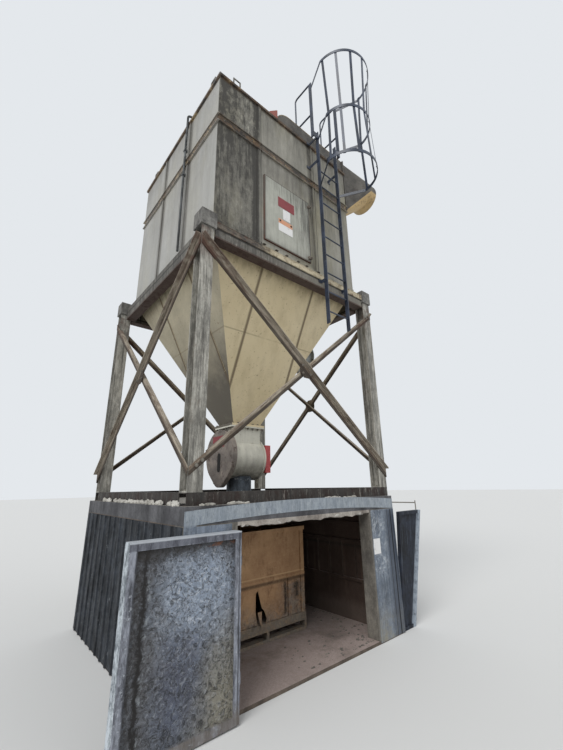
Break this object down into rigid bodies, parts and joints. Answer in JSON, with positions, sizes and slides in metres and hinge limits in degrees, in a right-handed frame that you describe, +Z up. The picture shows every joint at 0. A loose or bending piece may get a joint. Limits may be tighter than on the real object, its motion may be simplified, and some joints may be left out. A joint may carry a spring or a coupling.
{
  "type": "baghouse dust collector on a bunker",
  "caption": "Box-shaped filter housing with a pyramid hopper and rotary airlock on a braced steel frame, over a low concrete bunker with a hinged door leaf and a dust bin.",
  "frame": {"origin": "middle of the support frame in plan, at the underside of the bunker's floor", "axes": "+X to the right along the front, +Y to the back, +Z up"},
  "size_m": [3.9378, 3.8469, 8.209],
  "materials": {
    "concrete": "rough, stained",
    "galvanised": "dull, weathered",
    "frame_steel": "worn and rusty",
    "cream_paint": "satin, stained",
    "housing_paint": "matt, mildewed",
    "navy_paint": "satin",
    "red_paint": "satin, faded",
    "tan_steel": "dusty, rusty"
  },
  "bodies": {
    "plant": {"floor_slab": "concrete", "left_wall": "concrete", "right_wall": "concrete", "rear_wall": "concrete", "left_jamb": "concrete", "right_jamb": "concrete", "deck_slab": "concrete", "lintel": "concrete", "lintel_sheet": "galvanised", "jamb_sheet": "galvanised", "side_sheet": "galvanised", "wing_panel": "galvanised", "inlet_stub": "galvanised", "roof_hood": "galvanised", "outlet_transition": "galvanised", "conduit": "galvanised", "discharge_spout": "galvanised", "door_hinges": "frame_steel", "hook_rod": "frame_steel", "base_front": "frame_steel", "base_rear": "frame_steel", "base_left": "frame_steel", "base_right": "frame_steel", "leg_front_left": "frame_steel", "leg_front_right": "frame_steel", "leg_rear_left": "frame_steel", "leg_rear_right": "frame_steel", "ring_front": "frame_steel", "ring_rear": "frame_steel", "ring_left": "frame_steel", "ring_right": "frame_steel", "front_brace_a": "frame_steel", "front_brace_b": "frame_steel", "rear_brace_a": "frame_steel", "rear_brace_b": "frame_steel", "left_brace_a": "frame_steel", "left_brace_b": "frame_steel", "right_brace_a": "frame_steel", "right_brace_b": "frame_steel", "hopper": "cream_paint", "airlock": "cream_paint", "chain_guard": "cream_paint", "housing_front": "housing_paint", "housing_rear": "housing_paint", "housing_left": "housing_paint", "housing_right": "housing_paint", "housing_roof": "housing_paint", "access_door": "housing_paint", "ladder": "navy_paint", "ladder_brackets": "navy_paint", "grab_rails": "navy_paint", "cage_top_hoop": "navy_paint", "cage_middle_hoop": "navy_paint", "cage_bottom_hoop": "navy_paint", "cage_bars": "navy_paint", "tail_guard": "red_paint", "roof_box": "red_paint", "dust_bin": "tan_steel"},
    "left_leaf": {"left_door": "galvanised"}
  },
  "joints": [
    {"name": "left_door_hinge", "type": "hinge", "parent": "plant", "child": "left_leaf", "pos_m": [-1.0125, -1.562, 0.68], "axis": [0, 0, 1], "range_deg": [0, 180]}
  ]
}
